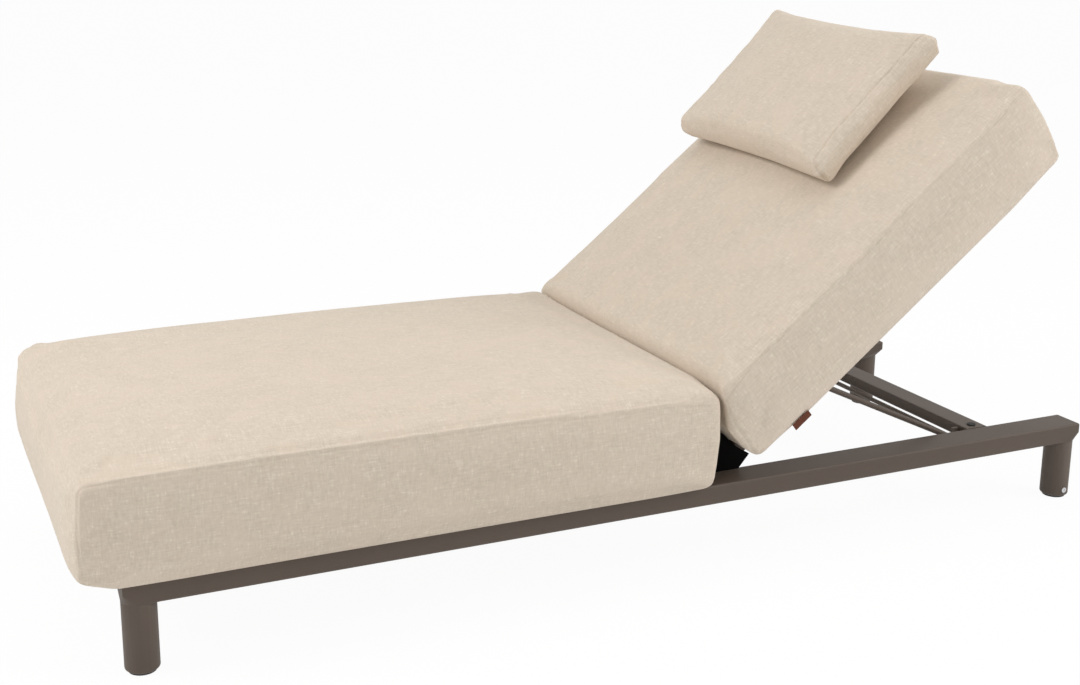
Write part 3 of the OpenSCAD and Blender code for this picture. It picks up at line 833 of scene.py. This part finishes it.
class LOUNGER_OT_back_cushion(bpy.types.Operator):
    """Builds the back cushion."""

    bl_idname = "lounger.back_cushion"
    bl_label = "Back cushion"

    def execute(self, context):
        solid = vertex_array(node_mesh("back_cushion", TO_BACK.inverted()))
        low, high = solid.min(0), solid.max(0)
        half, wide = (high[0] - low[0]) / 2, high[1]
        place = TO_BACK @ Matrix.Translation(((low[0] + high[0]) / 2, 0.0, low[2]))
        tube = vertex_array(node_mesh("back_member_left", TO_BACK.inverted()))
        tube_side = np.abs(tube[:, 1]).max()
        # How far the cover goes past its solid at each form
        hang, edge_up, edge_out, corner_out = 0.008, 0.006, 0.007, 0.012
        low_out, low_corner_out, low_up, under_drop = 0.006, 0.009, 0.004, 0.0018

        def under_pillow(points):
            """1 where the head pillow lies and slides, which stays clear of it."""
            side = np.abs(points[:, 1])
            return (1.0 - ramp(side, 0.32, 0.05)) * ramp(points[:, 2], 0.15, 0.04)

        def free(points):
            """The low end lies against the seat cushion, and isn't blown up."""
            away = 1.0 - ramp(-points[:, 0], half - 0.09, 0.06)
            return away * (1.0 - under_pillow(points))

        def shape(points):
            """The edges beside the tubes hang a little behind the rear face."""
            out = points.copy()
            x, y, z = points.T
            side = np.abs(y)
            out[:, 2] -= under_drop * under_pillow(points)
            full = full_edge(points, half, wide - 0.12, 0.08, 0.15, 0.5)
            out[:, 2] += edge_up * full
            out[:, 1] += edge_out * full * np.sign(y)
            corner = ramp(side, wide - 0.04, 0.035) * ramp(-x, half - 0.045, 0.04)
            out[:, 0] -= corner_out * corner * ramp(z, 0.0, 0.05)
            edge, ends = hanging_edge(points, half, wide, tube_side, 0.006)
            out[:, 2] -= hang * edge * ends
            low_edge = ramp(-x, half - 0.10, 0.05) * ramp(z, 0.14, 0.04)
            outer = ramp(side, wide - 0.026, 0.02)
            out[:, 0] -= (low_out + low_corner_out * outer) * low_edge
            out[:, 2] += low_up * low_edge
            over_tube = np.abs(out[:, 1]) < tube_side + 0.003
            out[over_tube, 2] = np.maximum(out[over_tube, 2], 0.0)
            return out

        spec = {
            **BOX_CUSHION, "free": free, "shape": shape, "seam_share": 1.0, "seam_corner": 0.02,
            "seam_levels": [(s, 0.175 + 0.016 * s ** 1.5) for s in (0, 0.2, 0.4, 0.6, 0.8, 1)],
        }
        stuff("back_cushion_cover", "back_cushion", "backrest", place,
              context.scene.lounger_cushion, fabric(), spec)
        return {"FINISHED"}


class LOUNGER_OT_head_pillow(bpy.types.Operator):
    """Builds the head pillow."""

    bl_idname = "lounger.head_pillow"
    bl_label = "Head pillow"

    def execute(self, context):
        tilt, turn = math.radians(7.9), math.radians(2.3)
        turned = TO_BACK @ Matrix.Rotation(-turn, 4, "Z") @ Matrix.Rotation(-tilt, 4, "Y")
        turned.translation = HINGE
        solid = vertex_array(node_mesh("head_pillow", turned.inverted()))
        low, high = solid.min(0), solid.max(0)
        middle = Vector(((low[0] + high[0]) / 2, (low[1] + high[1]) / 2, high[2] - PILLOW_FRONT))
        place = turned @ Matrix.Translation(middle)
        half = (high[0] - low[0]) / 2
        down = np.array((math.sin(tilt), 0.0, math.cos(tilt)))
        rest_at = ((solid - np.array(middle)) @ down).min()
        sag = 0.005

        def free(points):
            return np.ones(len(points))

        def shape(points):
            """The rear face lies flat on the back cushion, and the lower edge sags to it."""
            foot = ramp(-points[:, 0], half - 0.08, 0.07)
            slack = foot * (1.0 - ramp(points[:, 2], -0.005, 0.05))
            out = points - sag * slack[:, None] * down
            depth = out @ down
            return out + np.maximum(rest_at - depth, 0.0)[:, None] * down

        spec = {
            "voxel_share": 0.75, "soften": 3, "shrink": -0.0025, "swell": 0.006, "free": free,
            "lump_size": 0.13, "lump_depth": 0.002, "down": down, "rest_at": rest_at,
            "seam_low": 0.008, "seam_inset": 0.004, "seam_shoulder": 0.017,
            "seam_share": 1.8, "seam_corner": 0.012, "fill": 0.65, "shape": shape,
            "seam_levels": [(0.0, 0.063), (0.2, 0.068), (0.43, 0.070), (0.73, 0.065),
                            (1.0, 0.057)],
        }
        stuff("head_pillow_cover", "head_pillow", "pillow", place,
              context.scene.lounger_cushion, fabric(), spec)
        return {"FINISHED"}


class LOUNGER_OT_seam_tab(bpy.types.Operator):
    """Builds the small folded tab in the back cushion's seam."""

    bl_idname = "lounger.seam_tab"
    bl_label = "Seam tab"

    def execute(self, context):
        solid = vertex_array(node_mesh("seam_tab", TO_BACK.inverted()))
        low, high = solid.min(0), solid.max(0)
        steps, middle, thick = 22, (low[1] + high[1]) / 2, (high[1] - low[1]) / 2
        drop = 0.72 * (high[2] - low[2])
        # The loop's section: shares of its half thickness and of its drop
        loop = [(-1, 0), (-1, 0.35), (-1, 0.7), (-0.9, 0.94), (0, 1), (0.9, 0.94),
                (1, 0.7), (1, 0.35), (1, 0)]
        work = bmesh.new()
        rings = []
        for i in range(steps + 1):
            x = low[0] + (high[0] - low[0]) * i / steps
            wave = 0.0006 * noise.noise(Vector((x * 90.0, 1.0, 0.0)))
            ring = []
            for side, down in loop:
                y = middle + side * thick * (0.55 + 0.45 * down) + wave * down
                ring.append(work.verts.new((x, y, high[2] - drop * down)))
            rings.append(ring)
        for a, b in zip(rings[:-1], rings[1:]):
            join_rings(work, a, b)
        work.faces.new(rings[0][::-1])
        work.faces.new(rings[-1])
        piece = finished_piece("seam_tab_loop", work)
        piece.data.materials.append(woven("rust_ribbon", context.scene.lounger_tab))
        piece.matrix_world = TO_BACK
        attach(piece, "backrest")
        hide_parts("seam_tab")
        return {"FINISHED"}


def join_rings(work, first, second):
    """Faces between two closed rings of vertices."""
    for i in range(len(first)):
        j = (i + 1) % len(first)
        work.faces.new((first[i], first[j], second[j], second[i]))


def finished_piece(name, work):
    """A new piece from a bmesh, with its faces turned outwards."""
    bmesh.ops.recalc_face_normals(work, faces=work.faces[:])
    mesh = bpy.data.meshes.new(name)
    work.to_mesh(mesh)
    work.free()
    return link(name, mesh)


def plate(name, outline, near, far, bevel):
    """A flat plate with rounded edges, from its side outline and its two faces' y."""
    work = bmesh.new()
    first = [work.verts.new((x, near, z)) for x, z in outline]
    second = [work.verts.new((x, far, z)) for x, z in outline]
    work.faces.new(first)
    work.faces.new(second[::-1])
    join_rings(work, second, first)
    bmesh.ops.recalc_face_normals(work, faces=work.faces[:])
    bmesh.ops.bevel(work, geom=work.edges[:], offset=bevel, segments=3, profile=0.5,
                    affect="EDGES")
    return finished_piece(name, work)


class LOUNGER_OT_hinge_shade_covers(bpy.types.Operator):
    """Builds the near-black covers over the hinges, plates whose colour paints the shade in the
    gap between the cushions.
    """

    bl_idname = "lounger.hinge_covers"
    bl_label = "Hinge shade covers"

    def execute(self, context):
        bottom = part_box("rail_left")[1].z + 0.0006
        inner, outer, bevel = 0.3215, 0.3250, 0.0008
        # From the rail up to the tip, along the back cushion's lower edge and over the top
        outline = [
            (0.138, bottom), (0.2275, bottom), (0.2515, 0.1985), (0.2475, 0.2012),
            (0.2385, 0.2065), (0.2275, 0.2135), (0.2185, 0.2195), (0.2098, 0.2282),
            (0.1894, 0.2481), (0.1805, 0.2545), (0.155, 0.2545), (0.143, 0.2485),
            (0.138, 0.238),
        ]
        # Near-black plastic: its colour is painted shade, which fills the dark gap at the hinge
        shade_plastic = moulded("painted_shade_black", context.scene.lounger_covers, 0.8, shine=0.08)
        for side, word in ((-1, "left"), (1, "right")):
            piece = plate("hinge_shade_cover_" + word, outline, side * inner, side * outer, bevel)
            piece.data.materials.append(shade_plastic)
            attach(piece, "frame")
        return {"FINISHED"}


class LOUNGER_PT_panel(bpy.types.Panel):
    """Lists the lounger's pieces and their settings."""

    bl_idname = "LOUNGER_PT_panel"
    bl_label = "Lounger"
    bl_space_type = "VIEW_3D"
    bl_region_type = "UI"
    bl_category = "Lounger"

    def draw(self, context):
        for step in STEPS:
            self.layout.operator(step.bl_idname)
        for name in GROUPS:
            group = getattr(context.scene, name)
            box = self.layout.box()
            for item in group.__annotations__:
                box.prop(group, item)


STEPS = [
    LOUNGER_OT_stage, LOUNGER_OT_finishes, LOUNGER_OT_seat_cushion,
    LOUNGER_OT_back_cushion, LOUNGER_OT_head_pillow, LOUNGER_OT_seam_tab,
    LOUNGER_OT_hinge_shade_covers,
]
GROUPS = {
    "lounger_stage": StageSizes, "lounger_cushion": CushionSizes,
    "lounger_fabric": FabricColours, "lounger_tab": TabColours, "lounger_coat": CoatColours,
    "lounger_steel": SteelColours, "lounger_nylon": NylonColours,
    "lounger_covers": ShadeCoverColours, "lounger_rubber": RubberColours,
}


def register():
    for item in [*GROUPS.values(), *STEPS, LOUNGER_PT_panel]:
        bpy.utils.register_class(item)
    for name, group in GROUPS.items():
        setattr(bpy.types.Scene, name, bpy.props.PointerProperty(type=group))


def unregister():
    for name in GROUPS:
        delattr(bpy.types.Scene, name)
    for item in reversed([*GROUPS.values(), *STEPS, LOUNGER_PT_panel]):
        bpy.utils.unregister_class(item)


def main():
    register()
    bpy.ops.lounger.stage()
    bpy.ops.lounger.finishes()
    bpy.ops.lounger.seat_cushion()
    bpy.ops.lounger.back_cushion()
    bpy.ops.lounger.head_pillow()
    bpy.ops.lounger.seam_tab()
    bpy.ops.lounger.hinge_covers()


if __name__ == "__main__":
    main()
